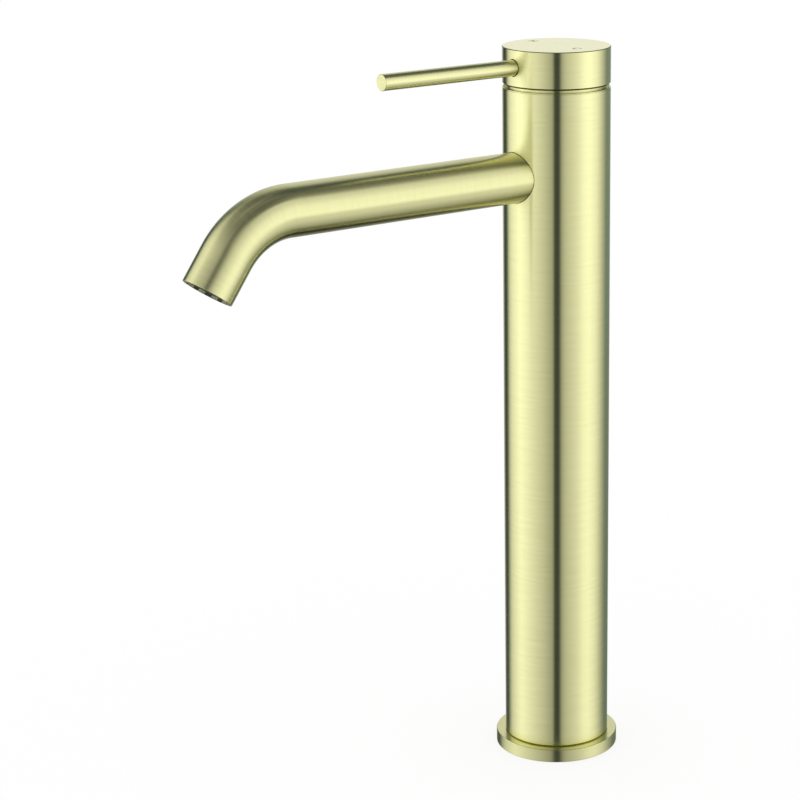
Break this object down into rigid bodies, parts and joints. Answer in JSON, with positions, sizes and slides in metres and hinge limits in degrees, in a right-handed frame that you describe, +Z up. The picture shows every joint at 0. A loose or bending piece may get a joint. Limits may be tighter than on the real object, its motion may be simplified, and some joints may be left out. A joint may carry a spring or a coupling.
{
  "type": "bathroom mixer faucet",
  "caption": "Tall round basin mixer with a slim pin-lever cap handle, straight spout bent down at its end, thin round base flange and ceramic disc cartridge.",
  "frame": {"origin": "on the column's axis at the deck, in the mouth of the fixing stud's thread", "axes": "+Z up along the column, -Y towards the user along the spout and the lever, -X is hot and +X is cold"},
  "size_m": [0.053, 0.2028, 0.3079],
  "materials": {
    "brushed_gold": "brushed, pale gold",
    "aerator_gold": "satin, pale gold",
    "plain_brass": "machined",
    "drawn_tube": "drawn tube",
    "pin_steel": "ground",
    "seal_rubber": "moulded",
    "aerator_plastic": "moulded, dark",
    "cartridge_plastic": "moulded",
    "disc_ceramic": "lapped ceramic"
  },
  "bodies": {
    "root": {"base_flange": "brushed_gold", "base_gasket": "seal_rubber", "base_plug": "plain_brass", "hot_riser_tube": "drawn_tube", "cold_riser_tube": "drawn_tube", "riser_seals": "seal_rubber", "column_tube": "brushed_gold", "trim_ring": "brushed_gold", "spout_tube": "brushed_gold", "spout_seal": "seal_rubber", "aerator_housing": "aerator_gold", "aerator_insert": "aerator_plastic", "aerator_washer": "seal_rubber", "valve_body": "plain_brass", "cartridge_base": "cartridge_plastic", "cartridge_port_seals": "seal_rubber", "cartridge_housing": "cartridge_plastic", "fixed_disc": "disc_ceramic", "retaining_nut": "plain_brass"},
    "turret": {"stem_carrier": "plain_brass", "carrier_seal": "seal_rubber", "pivot_pin": "pin_steel"},
    "handle": {"handle_cap": "brushed_gold", "lever_pin": "brushed_gold", "stem": "pin_steel", "grub_screw": "pin_steel"},
    "shutter": {"moving_disc": "disc_ceramic", "disc_driver": "cartridge_plastic"}
  },
  "joints": [
    {"name": "handle_turn", "type": "hinge", "parent": "root", "child": "turret", "pos_m": [0, 0, 0.3005], "axis": [0, 0, 1], "range_deg": [-50, 50]},
    {"name": "handle_lift", "type": "hinge", "parent": "turret", "child": "handle", "pos_m": [0, 0, 0.3005], "axis": [-1, 0, 0], "range_deg": [0, 14]},
    {"name": "shutter_slide", "type": "slide", "parent": "turret", "child": "shutter", "axis": [0, -1, 0], "range_m": [0, 0.005]}
  ],
  "couplings": [
    {"joint": "shutter_slide", "follows": "handle_lift", "m_per_rad": 0.02038}
  ]
}
